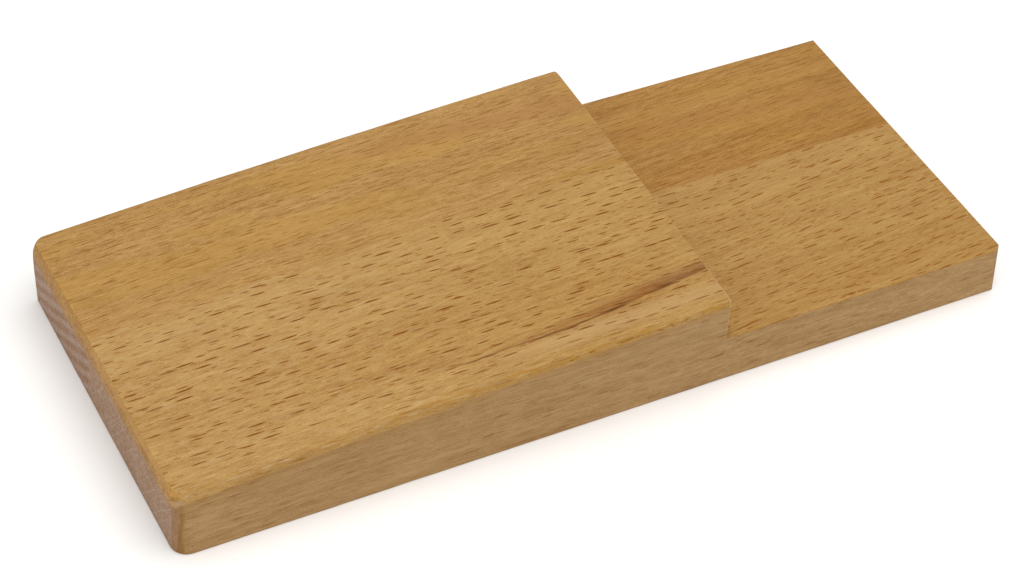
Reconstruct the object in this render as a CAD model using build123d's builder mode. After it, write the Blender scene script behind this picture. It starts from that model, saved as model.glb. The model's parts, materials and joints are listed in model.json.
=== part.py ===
from build123d import *
import os

# Beech bench pin: a wedge-topped block with a thinner tail that slides into a slot in a bench.
# Two staves are glued edge to edge, and the glued board is then milled and sanded as one.
# X runs from the thin front end to the tail's end, Y from the near side to the far side, Z up.
# The origin is at the centre of the footprint, on the underside. Lengths are in millimetres.

# Board
LENGTH = 170.0
WIDTH = 70.0
NEAR_STAVE_WIDTH = 40.6
GLUE_THICKNESS = 0.1

# Block and tail
BLOCK_LENGTH = 108.0
TAIL_THICKNESS = 11.0
FRONT_HEIGHT = 15.6
SHOULDER_NEAR_HEIGHT = 20.2
SHOULDER_FAR_HEIGHT = 22.2
TOP_CROWN = 0.2
TOP_BOW = 0.5

# Sanded edges
NEAR_CORNER_RADIUS = 3.0
FAR_CORNER_RADIUS = 1.3
TOP_EDGE_RADIUS = 1.2
ARRIS = 0.3

# How far the cutting bodies reach past the board
CUTTER_MARGIN = 5.0

front_x = -LENGTH / 2
tail_x = LENGTH / 2
shoulder_x = front_x + BLOCK_LENGTH
near_y = -WIDTH / 2
far_y = WIDTH / 2
glue_y = near_y + NEAR_STAVE_WIDTH
stock_height = SHOULDER_FAR_HEIGHT + TOP_CROWN + CUTTER_MARGIN


def top_height(x, y):
    """Height of the block's top: a rising wedge, lower on the near side, bowed along and crowned across."""
    along = (x - front_x) / BLOCK_LENGTH
    across = (y - near_y) / WIDTH
    shoulder = SHOULDER_NEAR_HEIGHT + across * (SHOULDER_FAR_HEIGHT - SHOULDER_NEAR_HEIGHT)
    wedge = FRONT_HEIGHT + along * (shoulder - FRONT_HEIGHT)
    bow = 4 * TOP_BOW * along * (1 - along)
    crown = 4 * TOP_CROWN * across * (1 - across)
    return wedge + bow + crown


os.makedirs("parts", exist_ok=True)

# The shaped board, before it is told apart into its pieces
with BuildPart() as board:
    with BuildSketch():
        Rectangle(LENGTH, WIDTH)
    extrude(amount=stock_height)
    near_corner, far_corner = board.edges().filter_by(Axis.Z).group_by(Axis.X)[0].sort_by(Axis.Y)
    fillet(near_corner, NEAR_CORNER_RADIUS)
    fillet(far_corner, FAR_CORNER_RADIUS)

    # Rebate over the tail
    with BuildSketch(Plane.XY.offset(TAIL_THICKNESS)):
        with Locations((shoulder_x, 0)):
            Rectangle(LENGTH, WIDTH + CUTTER_MARGIN, align=(Align.MIN, Align.CENTER))
    extrude(amount=stock_height, mode=Mode.SUBTRACT)

    # Waste above the sloping top, cut away in one smooth sweep
    reach_y = far_y + CUTTER_MARGIN
    for x in (front_x - CUTTER_MARGIN, front_x + BLOCK_LENGTH / 2, shoulder_x + CUTTER_MARGIN):
        near_point = (-reach_y, top_height(x, -reach_y))
        middle_point = (0, top_height(x, 0))
        far_point = (reach_y, top_height(x, reach_y))
        roof = stock_height + CUTTER_MARGIN
        with BuildSketch(Plane.YZ.offset(x)):
            with BuildLine():
                ThreePointArc(near_point, middle_point, far_point)
                Polyline(far_point, (reach_y, roof), (-reach_y, roof), near_point)
            make_face()
    loft(mode=Mode.SUBTRACT)

    # The block's top edges are rounded on three sides and left crisp at the shoulder
    top_face = board.faces().sort_by(Axis.Z)[-1]
    sanded_edges = top_face.edges().filter_by(lambda edge: edge.center().X < shoulder_x - ARRIS)
    fillet(sanded_edges, TOP_EDGE_RADIUS)

    # The tail's top and the whole underside only lose their sharp arris
    tail_top = board.faces().filter_by(Plane.XY).sort_by(Axis.Z)[-1]
    tail_edges = tail_top.edges().filter_by(lambda edge: edge.center().X > shoulder_x + ARRIS)
    underside = board.faces().sort_by(Axis.Z)[0]
    chamfer(tail_edges + underside.edges(), ARRIS)

near_joint = Plane.XZ.offset(-(glue_y - GLUE_THICKNESS / 2))
far_joint = Plane.XZ.offset(-(glue_y + GLUE_THICKNESS / 2))

with BuildPart() as near_stave:
    add(board.part)
    split(bisect_by=near_joint, keep=Keep.TOP)

with BuildPart() as far_stave:
    add(board.part)
    split(bisect_by=far_joint, keep=Keep.BOTTOM)

with BuildPart() as glue_line:
    add(board.part)
    split(bisect_by=near_joint, keep=Keep.BOTTOM)
    split(bisect_by=far_joint, keep=Keep.TOP)

near_stave.part.label = "near_stave"
export_step(near_stave.part, "parts/near_stave.step")

far_stave.part.label = "far_stave"
export_step(far_stave.part, "parts/far_stave.step")

glue_line.part.label = "glue_line"
export_step(glue_line.part, "parts/glue_line.step")
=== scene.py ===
import json
import math

import bmesh
import bpy
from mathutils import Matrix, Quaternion, Vector, noise


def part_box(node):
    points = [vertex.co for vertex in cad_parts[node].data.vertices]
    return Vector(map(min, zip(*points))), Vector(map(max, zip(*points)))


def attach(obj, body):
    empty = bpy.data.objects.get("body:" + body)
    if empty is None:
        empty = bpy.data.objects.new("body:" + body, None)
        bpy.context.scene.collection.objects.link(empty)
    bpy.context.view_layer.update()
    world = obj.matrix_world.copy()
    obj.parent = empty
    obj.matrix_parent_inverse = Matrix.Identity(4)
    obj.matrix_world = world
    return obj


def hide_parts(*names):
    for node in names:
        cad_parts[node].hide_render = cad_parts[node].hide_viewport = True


# A beech bench pin: a wedge block and a thinner tail, made of two staves and the glue film between them.
# X runs from the thin front end to the tail's end, Y from the near side to the far side, Z up, in metres.
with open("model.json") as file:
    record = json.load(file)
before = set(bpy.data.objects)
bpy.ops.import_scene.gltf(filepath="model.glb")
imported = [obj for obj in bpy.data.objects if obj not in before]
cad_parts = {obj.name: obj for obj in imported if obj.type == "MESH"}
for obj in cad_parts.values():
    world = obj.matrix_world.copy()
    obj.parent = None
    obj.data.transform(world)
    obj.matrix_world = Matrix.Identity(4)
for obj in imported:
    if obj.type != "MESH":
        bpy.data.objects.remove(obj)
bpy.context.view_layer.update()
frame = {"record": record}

MM = 0.001

# Places of the flat faces, from the CAD
near_low, near_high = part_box("near_stave")
far_low, far_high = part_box("far_stave")
mounts = {mount["name"]: Vector(mount["pos_m"]) for mount in frame["record"]["mounts"]}
FRONT, TAIL_END = near_low.x, near_high.x
NEAR, FAR = near_low.y, far_high.y
NEAR_JOINT, FAR_JOINT = near_high.y, far_low.y
SHOULDER = mounts["shoulder"].x
TAIL_TOP = mounts["tail_top"].z
BLOCK_END = (SHOULDER - FRONT) / MM

# The sloping top, as in the CAD
FRONT_HEIGHT = 15.6 * MM
SHOULDER_NEAR_HEIGHT = 20.2 * MM
SHOULDER_FAR_HEIGHT = 22.2 * MM
TOP_BOW = 0.5 * MM
TOP_CROWN = 0.2 * MM

# The sanded top edges of the block: how far each rounding reaches down its face, and in from it
FRONT_DROP, FRONT_REACH = 4.0 * MM, 0.45 * MM
NEAR_FRONT_DROP, NEAR_FRONT_REACH = 2.9 * MM, 1.3 * MM
NEAR_SHOULDER_DROP, NEAR_SHOULDER_REACH = 1.4 * MM, 0.5 * MM
FAR_DROP, FAR_REACH = 1.4 * MM, 1.0 * MM
EDGE_BLEND = 0.4 * MM
# Upright corners. The near one at the front is rounder at its foot, and the far one opens out only close to
# its top. The tail's near corner is filed away towards its top, and its far corner is left sharp.
NEAR_CORNER_TOP, NEAR_CORNER_FOOT = 2.5 * MM, 3.2 * MM
FAR_CORNER_TOP, FAR_CORNER_FOOT, FAR_CORNER_POWER = 2.4 * MM, 0.6 * MM, 6
TAIL_CORNER_TOP, TAIL_CORNER_FOOT = 1.3 * MM, 0.15 * MM
# The front face leans: its foot is set back, more at the far end
UNDERCUT_NEAR, UNDERCUT_FAR, UNDERCUT_FADE = 0.15 * MM, 0.5 * MM, 12 * MM
ARRIS = 0.25 * MM
# The shoulder's edge is crisp, but worn rounder over its last few millimetres at either side
SHOULDER_ARRIS, NEAR_END_WEAR, FAR_END_WEAR, END_WEAR_REACH = 0.13 * MM, 0.35 * MM, 0.6 * MM, 2.5 * MM
SHOULDER_ARRIS_FADE = 0.6 * MM
# Unevenness left by hand sanding: the top's height, and the share by which the sizes of the edges differ,
# each with the length of its bumps
TOP_WAVER, TOP_WAVER_LENGTH = 0.05 * MM, 28 * MM
EDGE_WAVER, EDGE_WAVER_LENGTH = 0.10, 11 * MM
ARRIS_WAVER, ARRIS_WAVER_LENGTH = 0.5, 9 * MM
SHOULDER_WAVER, SHOULDER_WAVER_LENGTH = 0.6, 4 * MM
# Fullness of a rounded edge's profile: 1 is a flat chamfer and 2 a quarter circle
SANDED, ROUND, FILED, FAR_FILED = 1.85, 2.0, 1.15, 1.405


# ---------------------------------------------------------------- shape


def waver(x, y, z, length):
    """Smooth unevenness left by hand sanding, about -1 to 1, over bumps of that length."""
    return noise.noise(Vector((x, y, z)) / length)


def top_height(x, y):
    """Height of the block's top: a rising wedge, lower on the near side, bowed along and crowned across."""
    along = (x - FRONT) / (SHOULDER - FRONT)
    across = (y - NEAR) / (FAR - NEAR)
    shoulder = SHOULDER_NEAR_HEIGHT + across * (SHOULDER_FAR_HEIGHT - SHOULDER_NEAR_HEIGHT)
    wedge = FRONT_HEIGHT + along * (shoulder - FRONT_HEIGHT)
    bow = 4 * TOP_BOW * along * (1 - along)
    crown = 4 * TOP_CROWN * across * (1 - across)
    return wedge + bow + crown + TOP_WAVER * waver(x, y, 0, TOP_WAVER_LENGTH)


def top_edge(x, y):
    """Drop and reach of the rounding of the nearest top edge, blended where two edges meet."""
    along = (x - FRONT) / (SHOULDER - FRONT)
    near_drop = NEAR_FRONT_DROP + along * (NEAR_SHOULDER_DROP - NEAR_FRONT_DROP)
    near_reach = NEAR_FRONT_REACH + along * (NEAR_SHOULDER_REACH - NEAR_FRONT_REACH)
    edges = (
        (x - FRONT, FRONT_DROP, FRONT_REACH),
        (y - NEAR, near_drop, near_reach),
        (FAR - y, FAR_DROP, FAR_REACH),
    )
    weights = [1 / (distance + EDGE_BLEND) ** 2 for distance, drop, reach in edges]
    unevenness = (1 + EDGE_WAVER * waver(x, y, 0, EDGE_WAVER_LENGTH)) / sum(weights)
    drop = sum(weight * edge[1] for weight, edge in zip(weights, edges)) * unevenness
    reach = sum(weight * edge[2] for weight, edge in zip(weights, edges)) * unevenness
    return drop, reach


def ease(a, b, reach_a, reach_b, fullness):
    """Takes a point at distances a and b from a square edge's two faces to its place on the eased edge."""
    if a >= reach_a or b >= reach_b:
        return a, b
    u, v = 1 - a / reach_a, 1 - b / reach_b
    scale = max(u, v) / (u**fullness + v**fullness) ** (1 / fullness)
    return reach_a * (1 - u * scale), reach_b * (1 - v * scale)


def corner_size(at_front, at_near, height):
    """Size of an upright corner at that share of its height, and the fullness of its profile."""
    if at_front and at_near:
        return NEAR_CORNER_FOOT + height * (NEAR_CORNER_TOP - NEAR_CORNER_FOOT), ROUND
    if at_front:
        return FAR_CORNER_FOOT + height**FAR_CORNER_POWER * (FAR_CORNER_TOP - FAR_CORNER_FOOT), FAR_FILED
    if at_near:
        return TAIL_CORNER_FOOT + height * (TAIL_CORNER_TOP - TAIL_CORNER_FOOT), FILED
    return ARRIS, ROUND


def shaped(x, y, level):
    """Where a point of the square-edged board ends up once its edges are eased. Level 0 is the underside,
    1 the height of the tail's top and 2 the block's top. Also gives how far below the eased top edge the
    point lies, as a share of that edge's drop, and whether it is on the shoulder's arris."""
    on_block = x <= SHOULDER
    ceiling = top_height(x, y) if on_block else TAIL_TOP
    z = level * TAIL_TOP if level <= 1 else TAIL_TOP + (level - 1) * (ceiling - TAIL_TOP)
    depth = ceiling - z
    arris = ARRIS * (1 + ARRIS_WAVER * waver(x, y, z, ARRIS_WAVER_LENGTH))
    drop, reach = top_edge(x, y) if on_block else (arris, arris)
    on_shoulder = x == SHOULDER and level > 1
    below_edge = depth / (SHOULDER_ARRIS if on_shoulder else drop)
    worn = 0.0

    # The shoulder's edge, carried round with the block's outline
    if on_block and level > 1:
        wear = NEAR_END_WEAR * max(0, 1 - (y - NEAR) / END_WEAR_REACH) ** 2
        wear += FAR_END_WEAR * max(0, 1 - (FAR - y) / END_WEAR_REACH) ** 2
        wear *= max(0, 1 - depth / (2 * END_WEAR_REACH))
        fade = min(1, (z - TAIL_TOP) / SHOULDER_ARRIS_FADE)
        size = (SHOULDER_ARRIS + wear) * fade
        size *= 1 + SHOULDER_WAVER * waver(x, y, z, SHOULDER_WAVER_LENGTH)
        skin = min(depth, y - NEAR, FAR - y)
        if SHOULDER - x < size and skin < size:
            worn = 1.0
            gap, skin = ease(SHOULDER - x, skin, size, size, ROUND)
            x = SHOULDER - gap
            depth = max(depth, skin)
            y = min(max(y, NEAR + skin), FAR - skin)

    # Distances in from the nearer end and the nearer side
    at_front, at_near = x - FRONT < TAIL_END - x, y - NEAR < FAR - y
    end, end_sign = (FRONT, 1) if at_front else (TAIL_END, -1)
    side, side_sign = (NEAR, 1) if at_near else (FAR, -1)
    from_end, from_side = (x - end) * end_sign, (y - side) * side_sign

    # The underside's arris, then the top edge and the upright corner
    inset, lift = ease(min(from_end, from_side), z, arris, arris, ROUND)
    from_end, from_side = max(from_end, inset), max(from_side, inset)
    depth -= lift - z
    inset, depth = ease(min(from_end, from_side), depth, reach, drop, SANDED if on_block else ROUND)
    from_end, from_side = max(from_end, inset), max(from_side, inset)
    size, fullness = corner_size(at_front, at_near, (ceiling - depth) / ceiling)
    from_end, from_side = ease(from_end, from_side, size, size, fullness)
    x, y, z = end + from_end * end_sign, side + from_side * side_sign, ceiling - depth

    # The leaning front face
    across = (y - NEAR) / (FAR - NEAR)
    undercut = UNDERCUT_NEAR + across * (UNDERCUT_FAR - UNDERCUT_NEAR)
    x += undercut * (1 - z / ceiling) * max(0, 1 - (x - FRONT) / UNDERCUT_FADE)
    return Vector((x, y, z)), min(below_edge, 2), worn


def stations(*stops):
    """Positions along an axis. Each stop is (position, spacing up to the next stop)."""
    positions = []
    for (start, spacing), (end, _) in zip(stops, stops[1:]):
        count = max(1, round((end - start) / spacing))
        positions += [start + (end - start) * i / count for i in range(count)]
    return positions + [stops[-1][0]]


# Spacings of the mesh, and the widths of its fine band at an edge and of its middling band over a rounding
FINE, MIDDLING, COARSE = 0.09 * MM, 0.25 * MM, 1.1 * MM
EDGE_BAND, FRONT_BAND, SIDE_BAND, SHOULDER_BAND = 0.6 * MM, 3.5 * MM, 3.2 * MM, 1.0 * MM
lengthwise = stations(
    (FRONT, FINE), (FRONT + EDGE_BAND, MIDDLING), (FRONT + FRONT_BAND, COARSE),
    (SHOULDER - EDGE_BAND, FINE), (SHOULDER, MIDDLING), (SHOULDER + SHOULDER_BAND, COARSE),
    (TAIL_END - EDGE_BAND, FINE), (TAIL_END, 0),
)
heights = stations((0, FINE), (EDGE_BAND, COARSE), (TAIL_TOP - EDGE_BAND, FINE), (TAIL_TOP, 0))
below_tail_top = [height / TAIL_TOP for height in heights]
# Above the tail's top the levels crowd together towards the block's top
LEVELS_ABOVE, CROWDING = 26, 1.8
above_tail_top = [2 - (1 - i / LEVELS_ABOVE) ** CROWDING for i in range(1, LEVELS_ABOVE + 1)]
levels = below_tail_top + above_tail_top
TAIL_LEVEL, TOP_LEVEL = len(below_tail_top) - 1, len(levels) - 1
SHOULDER_STATION = min(range(len(lengthwise)), key=lambda i: abs(lengthwise[i] - SHOULDER))
lengthwise[SHOULDER_STATION] = SHOULDER
# Faces that meet at more than this angle, in degrees, are shaded with a sharp edge
SHARP_ANGLE = 35


def board_piece(name, crosswise, material):
    """A closed mesh of the part of the board between the first and the last crosswise station."""
    mesh = bpy.data.meshes.new(name)
    shell = bmesh.new()
    below_layer = shell.verts.layers.float.new("below_edge")
    worn_layer = shell.verts.layers.float.new("worn")
    made = {}

    def corner(i, j, k):
        if (i, j, k) not in made:
            place, below_edge, worn = shaped(lengthwise[i], crosswise[j], levels[k])
            vertex = shell.verts.new(place)
            vertex[below_layer], vertex[worn_layer] = below_edge, worn
            made[i, j, k] = vertex
        return made[i, j, k]

    def quad(*corners):
        shell.faces.new([corner(*indices) for indices in corners])

    def top_of(i):
        return TOP_LEVEL if i < SHOULDER_STATION else TAIL_LEVEL

    # The underside and the tops, with the two long sides
    last_i, last_j = len(lengthwise) - 1, len(crosswise) - 1
    for i in range(last_i):
        for j in range(last_j):
            for k in (0, top_of(i)):
                quad((i, j, k), (i + 1, j, k), (i + 1, j + 1, k), (i, j + 1, k))
        for k in range(top_of(i)):
            for j in (0, last_j):
                quad((i, j, k), (i + 1, j, k), (i + 1, j, k + 1), (i, j, k + 1))
    # The front face, the shoulder's face and the tail's end
    upright = [(0, 0, TOP_LEVEL), (SHOULDER_STATION, TAIL_LEVEL, TOP_LEVEL), (last_i, 0, TAIL_LEVEL)]
    for i, bottom, top in upright:
        for j in range(last_j):
            for k in range(bottom, top):
                quad((i, j, k), (i, j + 1, k), (i, j + 1, k + 1), (i, j, k + 1))
    bmesh.ops.recalc_face_normals(shell, faces=shell.faces)
    shell.to_mesh(mesh)
    shell.free()
    mesh.shade_smooth()
    mesh.set_sharp_from_angle(angle=math.radians(SHARP_ANGLE))
    mesh.materials.append(material)
    piece = bpy.data.objects.new(name, mesh)
    bpy.context.scene.collection.objects.link(piece)
    return piece


# ---------------------------------------------------------------- colours


def srgb(red, green, blue):
    """A colour given as 0 to 255 display values, as the linear RGBA that shaders take."""
    def linear(value):
        value /= 255
        return value / 12.92 if value <= 0.04045 else ((value + 0.055) / 1.055) ** 2.4
    return (linear(red), linear(green), linear(blue), 1)


# Light that reaches an upward face on the stage, in each channel. The albedo is darker by that much.
STAGE_LIGHT = (1.24, 1.22, 1.285, 1)


def seen(red, green, blue):
    """The albedo that shows as this 0 to 255 display colour when it faces up on the stage."""
    return tuple(channel / light for channel, light in zip(srgb(red, green, blue), STAGE_LIGHT))


# A pair is the dark and the pale end of a range, which the fibres or bands go through. A tint is multiplied
# with the colour below it.
# The near stave's top
NEAR_TOP = seen(163, 117, 62), seen(209, 169, 110)
NEAR_ORANGE = seen(150, 100, 46), seen(196, 150, 86)
NEAR_BESIDE_GLUE = seen(202, 165, 110)
NEAR_BESIDE_STREAK = seen(204, 166, 123)
NEAR_TAIL = seen(160, 108, 36)
NEAR_SHOULDER_TINT = (0.965, 0.95, 0.87, 1)
NEAR_SMALL_RAY = seen(152, 90, 10)
NEAR_RAY_BLOCK, NEAR_RAY_TAIL = seen(132, 72, 0), seen(144, 82, 0)
# Painted shade for the corner at the shoulder's foot
FOOT_SHADE = seen(138, 90, 40)
STREAK_CORE = seen(104, 58, 16)
STREAK_HALO, STREAK_HALO_END = seen(150, 96, 46), seen(144, 95, 60)
OCHRE, RUBBED, DAB = seen(184, 132, 50), seen(212, 180, 138), seen(150, 92, 20)
# The far stave's top
FAR_TOP = seen(153, 106, 48), seen(208, 164, 107)
FAR_SHADE = seen(140, 96, 54)
FAR_PATCH = seen(190, 145, 70)
FAR_BESIDE_GLUE = seen(192, 150, 94)
FAR_PINK = seen(180, 130, 80)
FAR_TAIL = seen(142, 88, 26), seen(190, 137, 64)
FAR_TAIL_YELLOW = seen(196, 152, 84)
FAR_SMALL_RAY, FAR_RAY = seen(150, 92, 14), seen(136, 78, 4)
# Sides, end grain and edges
# The sides' greyer colour is partly their own and partly painted light: the cooler light that falls on a side
# face
SIDE = seen(159, 118, 72), seen(200, 161, 113)
SIDE_UPPER_TINT = (0.955, 0.95, 0.93, 1)
SIDE_STAIN = seen(170, 124, 68)
SIDE_SMALL_RAY, SIDE_RAY = seen(148, 100, 52), seen(146, 94, 44)
NEAR_END = seen(158, 117, 82), seen(188, 158, 141)
FAR_END = seen(152, 108, 69), seen(186, 157, 145)
SLANTED_END = seen(152, 106, 58)
AMBER = seen(150, 98, 32), seen(215, 161, 81)
# A lighter amber for the crown of a rounding, partly painted light
AMBER_LIT_CROWN = seen(190, 134, 66), seen(230, 180, 104)
AMBER_BLOTCH = seen(150, 94, 34)
# Pale marks on the corners and along the shoulder's arris, partly worn fibres and partly painted highlight
CORNER_SPOT_AND_HIGHLIGHT, ARRIS_HIGHLIGHT_AND_WEAR = seen(194, 162, 130), seen(212, 180, 138)
GLUE = srgb(150, 106, 58), srgb(172, 128, 74)
PAPER, SKY = (0.93, 0.93, 0.93, 1), (0.97, 0.985, 1.0, 1)


# ---------------------------------------------------------------- materials
# Places along the board are millimetres from its front, and places across it millimetres from its near side.


class Graph:
    """The nodes of one material, added a step at a time. Each step returns the socket with its result."""

    def __init__(self, name):
        self.material = bpy.data.materials.new(name)
        self.material.use_nodes = True
        self.nodes = self.material.node_tree.nodes
        self.links = self.material.node_tree.links
        self.shader = self.nodes["Principled BSDF"]

    def feed(self, socket, value):
        if isinstance(value, bpy.types.NodeSocket):
            self.links.new(value, socket)
        else:
            socket.default_value = value

    def add(self, kind, inputs, output=0, **settings):
        node = self.nodes.new(kind)
        for name, value in settings.items():
            setattr(node, name, value)
        for key, value in inputs.items():
            self.feed(node.inputs[key], value)
        return node.outputs[output]

    def math(self, operation, *values):
        return self.add("ShaderNodeMath", dict(enumerate(values)), operation=operation)

    def product(self, *values):
        result = values[0]
        for value in values[1:]:
            result = self.math("MULTIPLY", result, value)
        return result

    def vary(self, base, pattern, strength):
        """The base, made more or less by a pattern whose middle value is 0.5."""
        return self.math("MULTIPLY_ADD", self.math("SUBTRACT", pattern, 0.5), strength, base)

    def ramp(self, value, low, high, at_low=0.0, at_high=1.0):
        """Goes smoothly from at_low to at_high as the value goes from low to high."""
        inputs = {"Value": value, "From Min": low, "From Max": high, "To Min": at_low, "To Max": at_high}
        return self.add("ShaderNodeMapRange", inputs, interpolation_type="SMOOTHSTEP")

    def between(self, value, low, high, softness):
        """1 between low and high, fading outside them over that softness."""
        rise = self.ramp(value, low - softness, low + softness)
        fall = self.ramp(value, high - softness, high + softness, 1.0, 0.0)
        return self.product(rise, fall)

    def scaled(self, vector, size, shift=(0, 0, 0)):
        """Coordinates in which one unit is that many millimetres along each axis."""
        factors = tuple(1 / s for s in size)
        return self.add("ShaderNodeVectorMath", {0: vector, 1: factors, 2: shift}, operation="MULTIPLY_ADD")

    def noise(self, vector, detail=2.0, output="Fac"):
        inputs = {"Vector": vector, "Scale": 1.0, "Detail": detail}
        return self.add("ShaderNodeTexNoise", inputs, output=output)

    def mix(self, factor, first, second, blend="MIX"):
        inputs = {0: factor, 6: first, 7: second}
        return self.add("ShaderNodeMix", inputs, output=2, data_type="RGBA", blend_type=blend)

    def tinted(self, colour, tint):
        return self.mix(1.0, colour, tint, "MULTIPLY")


def coordinates(graph):
    """The point in millimetres, and its distances from the front, the near side and the underside."""
    place = graph.add("ShaderNodeTexCoord", {}, output="Object")
    point = graph.add("ShaderNodeVectorMath", {0: place, "Scale": 1 / MM}, operation="SCALE")
    split = graph.add("ShaderNodeSeparateXYZ", {"Vector": point}).node
    from_front = graph.math("SUBTRACT", split.outputs[0], FRONT / MM)
    from_near = graph.math("SUBTRACT", split.outputs[1], NEAR / MM)
    return point, from_front, from_near, split.outputs[2]


def facing(graph):
    """How far the surface faces along the board and across it."""
    normal = graph.add("ShaderNodeNewGeometry", {}, output="Normal")
    split = graph.add("ShaderNodeSeparateXYZ", {"Vector": normal}).node
    return graph.math("ABSOLUTE", split.outputs[0]), graph.math("ABSOLUTE", split.outputs[1])


# Rays: the share of places that hold one, the share where it is faint, how far each row slides against the
# next, and how scattered they are
RAY_SHARE, FAINT_SHARE, ROW_SLIDE, SCATTER = 0.90, 0.35, 0.618, 0.95
# A ray's least and greatest share of the full size, and where it starts to fade and ends
SMALLEST, LARGEST, FADE_START, FADE_END = 0.30, 0.85, 0.5, 1.1
RAGGEDNESS, RAGGED_SIZE = 0.5, (1.1, 0.25, 0.25)
# The small rays between the large ones, as shares of the large ones' spacing, length and thickness
SMALL_SPACING, SMALL_LENGTH, SMALL_THICKNESS, SMALL_SHIFT = 0.72, 0.42, 0.78, 31.7


def rays(graph, grain, angle, spacing, size, shift):
    """Rays: thin sheets that lie along the grain and lean at that angle, so a cut shows them as short dashes.
    Spacing, and half the size, are given along the grain and through the sheet."""
    turned = graph.add(
        "ShaderNodeVectorRotate", {"Vector": grain, "Angle": math.radians(angle)}, rotation_type="X_AXIS"
    )
    split = graph.add("ShaderNodeSeparateXYZ", {"Vector": turned}).node.outputs
    slid = graph.math("MULTIPLY_ADD", split[1], ROW_SLIDE * spacing[0] / spacing[1], split[0])
    cells = graph.scaled(graph.add("ShaderNodeCombineXYZ", {0: slid, 1: split[1]}), (*spacing, 1), shift)
    centre = graph.add(
        "ShaderNodeTexVoronoi", {"Vector": cells, "Scale": 1.0, "Randomness": SCATTER}, output="Position",
        voronoi_dimensions="2D"
    )
    chance = graph.add("ShaderNodeSeparateColor", {"Color": centre.node.outputs["Color"]}).node.outputs
    away = graph.add("ShaderNodeVectorMath", {0: cells, 1: centre}, operation="SUBTRACT")
    stretch = (spacing[0] / size[0], spacing[1] / size[1], 0)
    away = graph.add("ShaderNodeVectorMath", {0: away, 1: stretch}, operation="MULTIPLY")
    reach = graph.add("ShaderNodeVectorMath", {0: away}, output="Value", operation="LENGTH")
    ragged = graph.noise(graph.scaled(grain, RAGGED_SIZE, shift), 1.0)
    full = graph.math("MULTIPLY_ADD", ragged, RAGGEDNESS, graph.ramp(chance[1], 0.0, 1.0, SMALLEST, LARGEST))
    inside = graph.ramp(graph.math("DIVIDE", reach, full), FADE_START, FADE_END, 1.0, 0.0)
    return graph.product(inside, graph.ramp(chance[0], 1 - RAY_SHARE, 1 - RAY_SHARE + FAINT_SHARE))


# How softly the tail's looks take over from the block's
STEP_SOFTNESS = 0.05
# How far the grain wanders in the block, how much farther in the tail, and over what lengths, in millimetres
BLOCK_WANDER, TAIL_WANDER, WANDER_SIZE = 2.2, 1.2, (48, 17, 17)
# Fibres from coarse ones to pores: millimetres along the grain and across it
FIBRE_SIZES = ((55, 6, 6), (24, 1.2, 1.2), (9, 0.38, 0.38), (2.4, 0.2, 0.2), (0.4, 0.25, 0.25))
# Finish: the roughness of dark and pale fibres, what rays and end grain add to it, and how shiny the wood is
DARK_ROUGHNESS, PALE_ROUGHNESS, RAY_DULLNESS, END_DULLNESS, SHINE = 0.58, 0.50, 0.12, 0.12, 0.12
# Relief: how deep rays lie against the fibres' height, the strength of the relief and its height
RAY_HOLLOW, RELIEF_STRENGTH, RELIEF_HEIGHT = 0.7, 0.6, 0.05 * MM
# Strengths of the marks on the sides, the ends and the edges, where 1 hides what is below
SIDE_MOTTLE, SIDE_SMALL_RAYS, END_SPECKLE, AMBER_SPECKLE, BURNISH = 0.45, 0.25, 1.3, 1.2, 0.86


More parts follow.
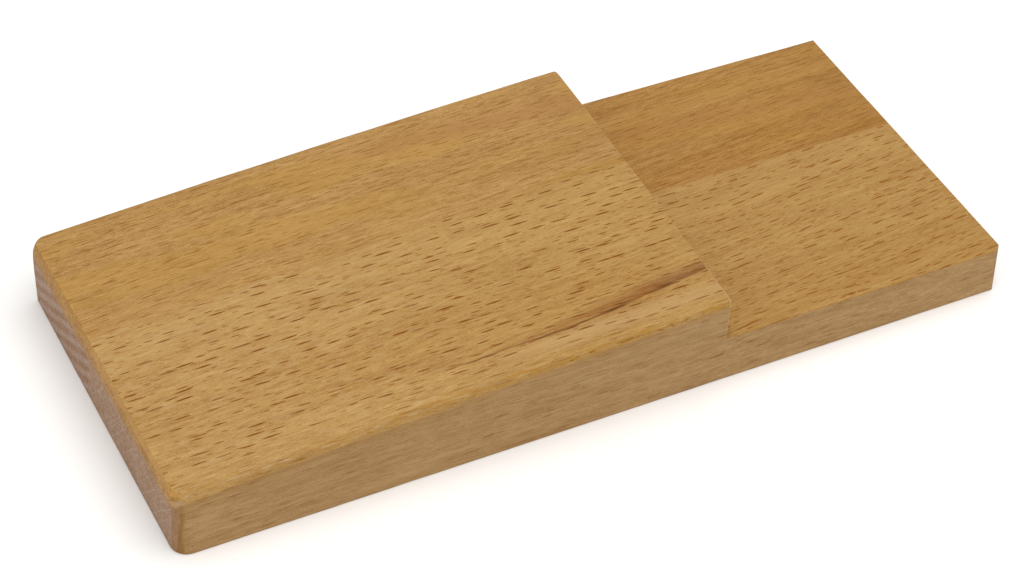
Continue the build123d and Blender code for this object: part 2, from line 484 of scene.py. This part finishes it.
class Wood:
    """One stave's grain and rays, and the sides, ends and edges that both staves have alike. Shift moves its
    patterns, so that no two staves are the same. Lean is how far the grain runs out towards the far side per
    length, in the block and in the tail."""

    def __init__(self, name, shift, block_lean, tail_lean, ray_angle, ray_spacing, ray_size):
        self.graph = graph = Graph(name)
        self.shift = shift
        self.point, self.along, self.across, self.height = coordinates(graph)
        self.end_on, self.side_on = facing(graph)
        # 1 where an upright corner faces both ways alike, and 0 on the flat faces
        self.corner = graph.product(self.end_on, self.side_on, 2.0)
        # 0 on the top, 1 at the foot of its edge's rounding and up to 2 below that
        self.below_edge = graph.add("ShaderNodeAttribute", {}, output="Fac", attribute_name="below_edge")
        self.worn = graph.add("ShaderNodeAttribute", {}, output="Fac", attribute_name="worn")
        self.flat_side = graph.ramp(self.below_edge, 0.88, 1.08)
        self.end_grain = graph.product(
            graph.ramp(self.end_on, 0.55, 0.88), graph.ramp(self.below_edge, 0.72, 1.2)
        )
        self.tail = graph.ramp(self.along, BLOCK_END - STEP_SOFTNESS, BLOCK_END + STEP_SOFTNESS)
        self.speckle = self.patches((0.5, 0.55, 0.55))
        self.grain = self.leaning_grain(block_lean, tail_lean)
        self.rays = rays(graph, self.grain, ray_angle, ray_spacing, ray_size, shift)
        small_spacing = [length * SMALL_SPACING for length in ray_spacing]
        small_size = ray_size[0] * SMALL_LENGTH, ray_size[1] * SMALL_THICKNESS
        small_shift = tuple(step + SMALL_SHIFT for step in shift)
        self.small_rays = rays(graph, self.grain, ray_angle, small_spacing, small_size, small_shift)

    def leaning_grain(self, block_lean, tail_lean):
        """The point, carried back along the grain's lean and its wandering."""
        graph = self.graph
        drift = graph.noise(graph.scaled(self.point, WANDER_SIZE, self.shift), 1.0, output="Color")
        centred = graph.add("ShaderNodeVectorMath", {0: drift, 1: (0.5, 0.5, 0.5)}, operation="SUBTRACT")
        swing = graph.math("MULTIPLY_ADD", self.tail, TAIL_WANDER, BLOCK_WANDER)
        wander = graph.add("ShaderNodeVectorMath", {0: centred, "Scale": swing}, operation="SCALE")
        wandering = graph.add("ShaderNodeVectorMath", {0: self.point, 1: wander}, operation="ADD")
        past_block = graph.product(self.tail, graph.math("SUBTRACT", self.along, BLOCK_END))
        run_out = graph.product(self.along, block_lean)
        run_out = graph.math("MULTIPLY_ADD", past_block, tail_lean - block_lean, run_out)
        lean = graph.add("ShaderNodeCombineXYZ", {1: run_out})
        return graph.add("ShaderNodeVectorMath", {0: wandering, 1: lean}, operation="SUBTRACT")

    def patches(self, size, detail=2.0):
        """Noise about 0.5, in patches of that size in millimetres."""
        return self.graph.noise(self.graph.scaled(self.point, size, self.shift), detail)

    def threads(self, size):
        """Noise about 0.5, in threads of that size that follow the grain."""
        return self.graph.noise(self.graph.scaled(self.grain, size, self.shift))

    def past_line(self, start, slope):
        """Distance on the far side of a line that starts there at the front and rises by that slope."""
        line = self.graph.math("MULTIPLY_ADD", self.along, slope, start)
        return self.graph.math("SUBTRACT", self.across, line)

    def fibres(self, strengths):
        """Light and dark fibres about 0.5, each strength being that of one size of fibre."""
        light = 0.5
        for size, strength in zip(FIBRE_SIZES, strengths):
            light = self.graph.vary(light, self.threads(size), strength)
        return light

    def faces(self, top, fibres, end_colours, bands):
        """Adds the flat sides, the banded end grain and the marks on the edges, some of them painted
        highlights, to the top's colour.
        """
        graph = self.graph
        end = graph.mix(graph.vary(bands, self.speckle, END_SPECKLE), *end_colours)
        colour = graph.mix(self.flat_side, top, self.side(fibres))
        colour = graph.mix(self.end_grain, colour, end)
        colour = self.slanted_corners(colour)
        colour = self.burnished_edges(colour, fibres)
        return self.pale_wear_and_highlights(colour)

    def side(self, fibres):
        """The flat sides: greyer than the top, partly their own colour and partly painted cool light, stained
        below its edge, with soft rays.
        """
        graph = self.graph
        mottle = self.threads((4.5, 2.0, 1.4))
        side = graph.mix(graph.vary(fibres, mottle, SIDE_MOTTLE), *SIDE)
        side = graph.mix(graph.ramp(self.height, 6, 12), side, graph.tinted(side, SIDE_UPPER_TINT))
        side = graph.mix(graph.ramp(self.below_edge, 1.0, 2.0, 0.35, 0.0), side, SIDE_STAIN)
        side = graph.mix(graph.product(self.small_rays, SIDE_SMALL_RAYS), side, SIDE_SMALL_RAY)
        bold = graph.ramp(mottle, 0.35, 0.6, 0.65, 0.15)
        return graph.mix(graph.product(self.rays, bold), side, SIDE_RAY)

    def slanted_corners(self, colour):
        """End grain that is cut at a slant, on the upright corners, takes the finish darkest."""
        graph = self.graph
        slant = graph.ramp(graph.product(self.corner, self.flat_side), 0.35, 1.0)
        streaks = graph.ramp(self.patches((0.7, 0.7, 7)), 0.35, 0.65, 0.35, 0.95)
        return graph.mix(graph.product(slant, streaks), colour, SLANTED_END)

    def burnished_edges(self, colour, fibres):
        """The rounded edges across the grain are burnished amber, lighter along their crown: partly pale worn
        spots, partly painted light where the crown turns up to the light.
        """
        graph = self.graph
        amber = graph.mix(graph.vary(fibres, self.speckle, AMBER_SPECKLE), *AMBER)
        blotches = graph.ramp(self.patches((2, 2.2, 1.1)), 0.42, 0.68, 0.0, 0.5)
        amber = graph.mix(blotches, amber, AMBER_BLOTCH)
        # Painted light, with some pale wear: the upper part of the rounding is lighter, more so on the near
        # stave
        crown = graph.ramp(self.below_edge, 0.0, 0.6, 1.0, 0.0)
        crown = graph.product(crown, graph.ramp(self.across, 38, 44, 0.55, 0.1))
        amber = graph.mix(crown, amber, graph.mix(fibres, *AMBER_LIT_CROWN))
        rounded = graph.ramp(self.below_edge, 0.75, 1.3, 1.0, 0.0)
        burnished = graph.product(rounded, graph.ramp(self.end_on, 0.15, 0.8), BURNISH)
        return graph.mix(burnished, colour, amber)

    def pale_wear_and_highlights(self, colour):
        """Pale marks, partly crushed fibres and partly painted highlight: a spot on each upright corner, and
        a line along the shoulder's arris.
        """
        graph = self.graph
        # A painted highlight on the top of each upright corner, with pale rubbed fibres
        spot = graph.product(self.corner, graph.between(self.below_edge, 0.5, 1.05, 0.35))
        colour = graph.mix(graph.ramp(spot, 0.2, 0.9, 0.0, 0.6), colour, CORNER_SPOT_AND_HIGHLIGHT)
        # A painted highlight along the shoulder's arris, with pale worn wood, strongest near the near side
        line = graph.product(self.worn, graph.ramp(self.across, 2, 20, 0.85, 0.3))
        broken = graph.ramp(self.patches((2.0, 2.5, 2.5)), 0.4, 0.6, 0.35, 1.0)
        return graph.mix(graph.product(line, broken), colour, ARRIS_HIGHLIGHT_AND_WEAR)

    def finish(self, colour, fibres):
        """Feeds the colour, the roughness and the relief to the shader, and gives the material."""
        graph = self.graph
        graph.feed(graph.shader.inputs["Base Color"], colour)
        rough = graph.ramp(fibres, 0.35, 0.65, DARK_ROUGHNESS, PALE_ROUGHNESS)
        rough = graph.math("MULTIPLY_ADD", self.rays, RAY_DULLNESS, rough)
        rough = graph.math("MULTIPLY_ADD", self.end_grain, END_DULLNESS, rough)
        graph.feed(graph.shader.inputs["Roughness"], rough)
        graph.shader.inputs["Specular IOR Level"].default_value = SHINE
        hollows = graph.math("MULTIPLY_ADD", self.rays, -RAY_HOLLOW, fibres)
        relief = {"Height": hollows, "Strength": RELIEF_STRENGTH, "Distance": RELIEF_HEIGHT}
        graph.feed(graph.shader.inputs["Normal"], graph.add("ShaderNodeBump", relief))
        return graph.material


# The orange band on the near stave: its middle at the front, in from the near side, and its slope
ORANGE_START, ORANGE_SLOPE = 18.5, -0.075
# The streak's core, in millimetres: how far in from the near side it starts and ends, how much it wobbles and
# its least half width. Stretches of it are (start, end, softness of both, how much wider or how dark).
STREAK_START, STREAK_END, STREAK_WOBBLE, CORE_HALF_WIDTH = 6.3, 9.6, 0.9, 0.20
WIDER_STRETCHES = ((85.5, 92, 2.5, 0.34), (96, 108, 2.0, 0.2))
DARKER_STRETCHES = ((57, 63, 2.0, 0.95), (70, 92, 2.5, 1.0), (95.5, 100.5, 1.5, 0.9))
# Strengths of the near stave's fibres, from coarse ones to pores, and of the marks on it
NEAR_FIBRES = (0.30, 0.68, 0.85, 0.90, 0.85)
BESIDE_GLUE, BESIDE_STREAK, HALO, CORE, RUBBING = 0.15, 0.45, 1.1, 0.95, 0.75
TAIL_RAYS, END_RAYS, BLOCK_SMALL_RAYS, RAY_LINES = 0.86, 0.5, 0.75, 0.5


def near_ground(wood, fibres):
    """The near stave's top without rays: an orange band, a pale zone beside the glue and a yellower tail."""
    graph, along, across = wood.graph, wood.along, wood.across
    top = graph.mix(fibres, *NEAR_TOP)
    orange = graph.product(
        graph.between(wood.past_line(ORANGE_START, ORANGE_SLOPE), -7.0, 6.0, 2.8),
        graph.ramp(along, 16, 42, 0.05, 0.40), graph.ramp(along, 90, 104, 1.0, 0.5),
        graph.ramp(wood.tail, 0.0, 1.0, 1.0, 0.2)
    )
    top = graph.mix(orange, top, graph.mix(fibres, *NEAR_ORANGE))
    pale = graph.product(graph.ramp(across, 30, 34), graph.ramp(across, 38, 41, 1.0, 0.6), BESIDE_GLUE)
    top = graph.mix(pale, top, NEAR_BESIDE_GLUE)
    return graph.mix(graph.product(wood.tail, graph.ramp(across, 2, 20, 0.26, 0.14)), top, NEAR_TAIL)


def mineral_streak(wood):
    """How strong the streak's dark core is, and the reddish halo on its far side."""
    graph, along = wood.graph, wood.along
    core_line = graph.ramp(along, 76, 112, STREAK_START, STREAK_END)
    core_line = graph.vary(core_line, wood.patches((9, 2, 9)), STREAK_WOBBLE)
    beyond = graph.math("SUBTRACT", wood.across, core_line)
    threads = wood.threads((8, 0.30, 0.30))

    half_core = CORE_HALF_WIDTH
    for start, end, softness, wider in WIDER_STRETCHES:
        half_core = graph.math("MULTIPLY_ADD", graph.between(along, start, end, softness), wider, half_core)
    strength = graph.ramp(along, 60, 100, 0.45, 0.4)
    for start, end, softness, dark in DARKER_STRETCHES:
        stretch = graph.product(graph.between(along, start, end, softness), dark)
        strength = graph.math("MAXIMUM", strength, stretch)
    core = graph.math("DIVIDE", graph.math("ABSOLUTE", beyond), half_core)
    core = graph.product(graph.ramp(core, 0.25, 1.3, 1.0, 0.0), strength, graph.ramp(along, 54, 58))
    core = graph.product(core, graph.ramp(threads, 0.30, 0.50, 0.45, 1.0))

    halo_width = graph.math("ADD", graph.ramp(along, 60, 88, 0.4, 3.5), graph.ramp(along, 94, 108, 0.0, -0.9))
    halo = graph.ramp(graph.math("DIVIDE", beyond, halo_width), 0.15, 1.15, 1.0, 0.0)
    halo = graph.product(halo, graph.ramp(beyond, -0.35, 0.15))
    halo = graph.product(halo, graph.ramp(along, 56, 88), graph.ramp(along, 96, 108, 1.0, 0.8))
    between_threads = graph.ramp(along, 92, 104, 0.35, 0.75)
    halo = graph.product(halo, graph.ramp(threads, 0.35, 0.65, between_threads, 1.0))
    return core, halo


def marked_near_edge(wood, top):
    """The near edge: ochre near its foot, with pale rubbed marks towards the front and a few dark dabs."""
    graph, along = wood.graph, wood.along
    blots = wood.patches((3.5, 0.9, 0.5))
    ochre = graph.product(
        graph.ramp(wood.side_on, 0.3, 0.8), graph.ramp(wood.below_edge, 0.9, 1.0, 1.0, 0.0),
        graph.ramp(blots, 0.40, 0.62), graph.ramp(along, 20, 80, 0.25, 0.65)
    )
    top = graph.mix(ochre, top, OCHRE)
    rubbed = graph.product(
        graph.between(wood.below_edge, 0.02, 0.3, 0.05), graph.ramp(blots, 0.36, 0.5, 1.0, 0.0),
        graph.ramp(along, 45, 75, 1.0, 0.3), RUBBING
    )
    top = graph.mix(rubbed, top, RUBBED)
    spots = wood.patches((1.6, 0.9, 0.6))
    dabs = graph.product(
        graph.ramp(spots, 0.56, 0.66), graph.between(wood.below_edge, 0.1, 0.9, 0.2),
        graph.ramp(wood.side_on, 0.2, 0.5), graph.ramp(along, 30, 85, 0.3, 0.8)
    )
    return graph.mix(dabs, top, DAB)


def near_wood():
    """The near stave: bold short rays on a tan ground, and one dark mineral streak near the shoulder."""
    wood = Wood(
        "beech_near", shift=(3.1, 7.7, 1.3), block_lean=0.031, tail_lean=0.088,
        ray_angle=-40, ray_spacing=(5.0, 1.4), ray_size=(1.9, 0.155)
    )
    graph, along, across = wood.graph, wood.along, wood.across
    fibres = wood.fibres(NEAR_FIBRES)
    top = near_ground(wood, fibres)

    # The streak's halo, with a pale zone on the near side of it
    core, halo = mineral_streak(wood)
    on_top = graph.product(graph.ramp(wood.height, 12.5, 15.0), graph.ramp(across, 30, 31, 1.0, 0.0))
    pale = graph.product(graph.between(across, 2.6, 5.8, 1.2), graph.ramp(along, 58, 80), on_top)
    top = graph.mix(graph.product(pale, BESIDE_STREAK), top, NEAR_BESIDE_STREAK)
    halo_colour = graph.mix(graph.ramp(along, 92, 105), STREAK_HALO, STREAK_HALO_END)
    top = graph.mix(graph.product(halo, on_top, HALO), top, halo_colour)

    # The stave turns a little darker and yellower towards the shoulder
    yellower = graph.product(graph.ramp(along, 10, 100), graph.math("MULTIPLY_ADD", wood.tail, -0.45, 1.0))
    top = graph.mix(yellower, top, graph.tinted(top, NEAR_SHOULDER_TINT))

    # Painted shade in the corner at the foot of the shoulder, darkest at the near side
    foot = graph.product(wood.tail, graph.ramp(along, BLOCK_END + 0.3, BLOCK_END + 2.5, 1.0, 0.0))
    top = graph.mix(graph.product(foot, graph.ramp(across, 0, 14, 0.45, 0.15)), top, FOOT_SHADE)

    # Rays, fainter on the ends and beside the block's near edge. The large ones are a little fainter on the
    # tail, and the small ones on the block.
    past_edge = graph.math("MULTIPLY_ADD", wood.tail, 9, across)
    bold = graph.product(
        graph.ramp(past_edge, 1.5, 6.5, 0.5, 1.0), graph.ramp(wood.tail, 0.0, 1.0, 1.0, TAIL_RAYS),
        graph.ramp(wood.end_on, 0.3, 0.8, 1.0, END_RAYS)
    )
    small_bold = graph.product(bold, graph.ramp(wood.tail, 0.0, 1.0, BLOCK_SMALL_RAYS, 1.0))
    top = graph.mix(graph.product(wood.small_rays, small_bold), top, NEAR_SMALL_RAY)
    ray_colour = graph.mix(wood.tail, NEAR_RAY_BLOCK, NEAR_RAY_TAIL)
    top = graph.mix(graph.product(wood.rays, bold), top, ray_colour)
    top = graph.mix(graph.product(core, on_top, CORE), top, STREAK_CORE)
    top = marked_near_edge(wood, top)

    # On the end grain the rays and fibres show as pale lines
    lines = graph.math("MULTIPLY_ADD", fibres, 1.5, -0.35)
    lines = graph.math("MULTIPLY_ADD", wood.small_rays, RAY_LINES, lines)
    lines = graph.math("MULTIPLY_ADD", wood.rays, RAY_LINES, lines)
    return wood.finish(wood.faces(top, fibres, NEAR_END, lines), fibres)


# The pink band on the far stave: its middle at the front, in from the near side, and its slope
PINK_START, PINK_SLOPE = 70.4, -0.105
# Growth rings on the far stave's end grain: their spacing in millimetres, the direction in which they follow
# each other, across and up, and their strength
RING_SPACING, RING_ACROSS, RING_UP, RING_STRENGTH = 2.7, 0.5, 0.87, 0.24
# Strengths of the far stave's fibres, from coarse ones to pores, and of the marks and rays on it
FAR_FIBRES = (0.32, 0.62, 0.85, 0.98, 0.85)
SHADING, PALE_ZONE, PINK_BAND, YELLOW_BAND = 0.14, 0.22, 0.6, 0.32
FAR_SMALL_RAYS, FRONT_RAYS, SHOULDER_RAYS, FAR_TAIL_RAYS = 0.82, 0.84, 0.66, 0.9


def far_ground(wood, fibres):
    """The far stave's top without rays: yellow patches, a pink band and a darker tail with a yellow band."""
    graph, along, across = wood.graph, wood.along, wood.across
    top = graph.mix(fibres, *FAR_TOP)
    # A little darker beside the shoulder, and more so towards the tail's end
    shade = graph.math("ADD", graph.between(along, 99, 108, 5.0), graph.ramp(along, 148, 166, 0.0, 1.6))
    top = graph.mix(graph.product(shade, SHADING), top, FAR_SHADE)
    patches = wood.patches((32, 7, 9), 1.0)
    top = graph.mix(graph.ramp(patches, 0.45, 0.65, 0.0, 0.4), top, FAR_PATCH)
    pale = graph.product(graph.ramp(across, 42, 52, 1.0, 0.0), graph.ramp(along, 20, 80, 1.0, 0.0))
    top = graph.mix(graph.product(pale, PALE_ZONE), top, FAR_BESIDE_GLUE)
    pink = graph.between(wood.past_line(PINK_START, PINK_SLOPE), -1.6, 2.2, 1.4)
    top = graph.mix(graph.product(pink, graph.ramp(along, 50, 75), PINK_BAND), top, FAR_PINK)
    darker = graph.product(wood.tail, graph.ramp(across, 43, 52, 0.54, 0.39))
    top = graph.mix(darker, top, graph.mix(fibres, *FAR_TAIL))
    yellow = graph.product(wood.tail, graph.between(across, 60.2, 63.6, 0.8), YELLOW_BAND)
    return graph.mix(yellow, top, FAR_TAIL_YELLOW)


def far_wood():
    """The far stave: closer, thinner rays on a darker orange-tan ground."""
    wood = Wood(
        "beech_far", shift=(13.4, 2.9, 8.6), block_lean=-0.016, tail_lean=0.075,
        ray_angle=30, ray_spacing=(5.2, 1.2), ray_size=(2.1, 0.105)
    )
    graph = wood.graph
    fibres = wood.fibres(FAR_FIBRES)
    top = far_ground(wood, fibres)
    top = graph.mix(graph.product(wood.small_rays, FAR_SMALL_RAYS), top, FAR_SMALL_RAY)
    bold = graph.ramp(wood.along, 20, 60, FRONT_RAYS, SHOULDER_RAYS)
    bold = graph.product(bold, graph.ramp(wood.tail, 0.0, 1.0, 1.0, FAR_TAIL_RAYS))
    top = graph.mix(graph.product(wood.rays, bold), top, FAR_RAY)

    split = graph.add("ShaderNodeSeparateXYZ", {"Vector": wood.grain}).node.outputs
    ring = graph.math("ADD", graph.product(split[1], RING_ACROSS), graph.product(split[2], RING_UP))
    ring = graph.math("SINE", graph.product(ring, 2 * math.pi / RING_SPACING))
    bands = graph.math("MULTIPLY_ADD", ring, RING_STRENGTH, graph.math("MULTIPLY_ADD", fibres, 1.5, -0.25))
    return wood.finish(wood.faces(top, fibres, FAR_END, bands), fibres)


# The glue: the size of its clouds in millimetres, its roughness where dark and pale, and its relief
CLOUD_SIZE, GLUE_ROUGHNESS, GLUE_RELIEF, GLUE_HEIGHT = (2.5, 0.6, 0.6), (0.38, 0.55), 0.4, 0.01 * MM


def set_glue():
    """Set wood glue, a thin amber-brown film, sanded flush."""
    graph = Graph("wood_glue")
    point = coordinates(graph)[0]
    cloud = graph.noise(graph.scaled(point, CLOUD_SIZE), 3.0)
    graph.feed(graph.shader.inputs["Base Color"], graph.mix(cloud, *GLUE))
    graph.feed(graph.shader.inputs["Roughness"], graph.ramp(cloud, 0.3, 0.7, *GLUE_ROUGHNESS))
    relief = {"Height": cloud, "Strength": GLUE_RELIEF, "Distance": GLUE_HEIGHT}
    graph.feed(graph.shader.inputs["Normal"], graph.add("ShaderNodeBump", relief))
    return graph.material


# ---------------------------------------------------------------- pieces

near_beech = near_wood()
far_beech = far_wood()
glue = set_glue()


def crosswise_stations(joint):
    """Stations from the near side to that joint, fine at the board's edge."""
    return stations((NEAR, FINE), (NEAR + EDGE_BAND, MIDDLING), (NEAR + SIDE_BAND, COARSE), (joint, 0))


near_stations = crosswise_stations(NEAR_JOINT)
# The far stave's stations are those of a near stave of its width, mirrored
mirrored_joint = NEAR + FAR - FAR_JOINT
far_stations = [NEAR + FAR - y for y in reversed(crosswise_stations(mirrored_joint))]
pieces = [
    ("near_stave_wood", near_stations, near_beech, "near_stave", "beech_near"),
    ("far_stave_wood", far_stations, far_beech, "far_stave", "beech_far"),
    ("glue_film", [NEAR_JOINT, FAR_JOINT], glue, "glue_line", "wood_glue"),
]
for name, crosswise, material, node, slot in pieces:
    piece = board_piece(name, crosswise, material)
    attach(piece, "root")
    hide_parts(node)


# ---------------------------------------------------------------- stage, light and camera

# The floor lies just below the underside
FLOOR_GAP = 0.02 * MM


def floor(size, material):
    """A square floor of that size, centred below the board."""
    mesh = bpy.data.meshes.new("floor")
    shell = bmesh.new()
    half = size / 2
    outline = ((-half, -half), (half, -half), (half, half), (-half, half))
    shell.faces.new([shell.verts.new((x, y, -FLOOR_GAP)) for x, y in outline])
    shell.to_mesh(mesh)
    shell.free()
    mesh.materials.append(material)
    sheet = bpy.data.objects.new("floor", mesh)
    bpy.context.scene.collection.objects.link(sheet)
    return sheet


PAPER_ROUGHNESS, PAPER_SHINE = 0.9, 0.1
paper = Graph("pale_floor")
paper.shader.inputs["Base Color"].default_value = PAPER
paper.shader.inputs["Roughness"].default_value = PAPER_ROUGHNESS
paper.shader.inputs["Specular IOR Level"].default_value = PAPER_SHINE
floor(6.0, paper.material)


def outward(azimuth, elevation):
    """Direction away from the object. Azimuth 0 is the near side and 90 the tail's end, in degrees."""
    a, e = math.radians(azimuth), math.radians(elevation)
    return Vector((math.sin(a) * math.cos(e), -math.cos(a) * math.cos(e), math.sin(e)))


def softbox(name, azimuth, elevation, distance, size, power, colour):
    """A square area light aimed at the object."""
    light = bpy.data.lights.new(name, "AREA")
    light.shape = "SQUARE"
    light.size = size
    light.energy = power
    light.color = colour
    lamp = bpy.data.objects.new(name, light)
    away = outward(azimuth, elevation)
    lamp.location = away * distance
    lamp.rotation_mode = "QUATERNION"
    lamp.rotation_quaternion = (-away).to_track_quat("-Z", "Y")
    bpy.context.scene.collection.objects.link(lamp)


softbox("overhead", azimuth=20, elevation=78, distance=1.1, size=1.2, power=11.0, colour=(1.0, 0.97, 0.92))
softbox("side_fill", azimuth=-70, elevation=30, distance=1.2, size=0.9, power=2.0, colour=(0.92, 0.96, 1.0))

SKY_STRENGTH = 0.55
world = bpy.data.worlds.new("studio")
world.use_nodes = True
world.node_tree.nodes["Background"].inputs["Color"].default_value = SKY
world.node_tree.nodes["Background"].inputs["Strength"].default_value = SKY_STRENGTH
bpy.context.scene.world = world
bpy.context.scene.view_settings.view_transform = "Standard"

# The camera looks down at a point on the floor, near the middle of the footprint
CAMERA_AZIMUTH, CAMERA_ELEVATION, CAMERA_ROLL = -32.87, 43.01, 6.61
CAMERA_DISTANCE = 519.6 * MM
CAMERA_AIM = Vector((13.9 * MM, -4.7 * MM, 0))
SENSOR_WIDTH, FOCAL_LENGTH, SHIFT = 36, 94.13, -0.0797
lens = bpy.data.cameras.new("camera")
lens.sensor_width = SENSOR_WIDTH
lens.lens = FOCAL_LENGTH
lens.shift_x = SHIFT
camera = bpy.data.objects.new("camera", lens)
away = outward(CAMERA_AZIMUTH, CAMERA_ELEVATION)
roll = Quaternion((0, 0, 1), math.radians(CAMERA_ROLL))
camera.location = CAMERA_AIM + away * CAMERA_DISTANCE
camera.rotation_mode = "QUATERNION"
camera.rotation_quaternion = (-away).to_track_quat("-Z", "Y") @ roll
bpy.context.scene.collection.objects.link(camera)
bpy.context.scene.camera = camera

bpy.context.view_layer.update()
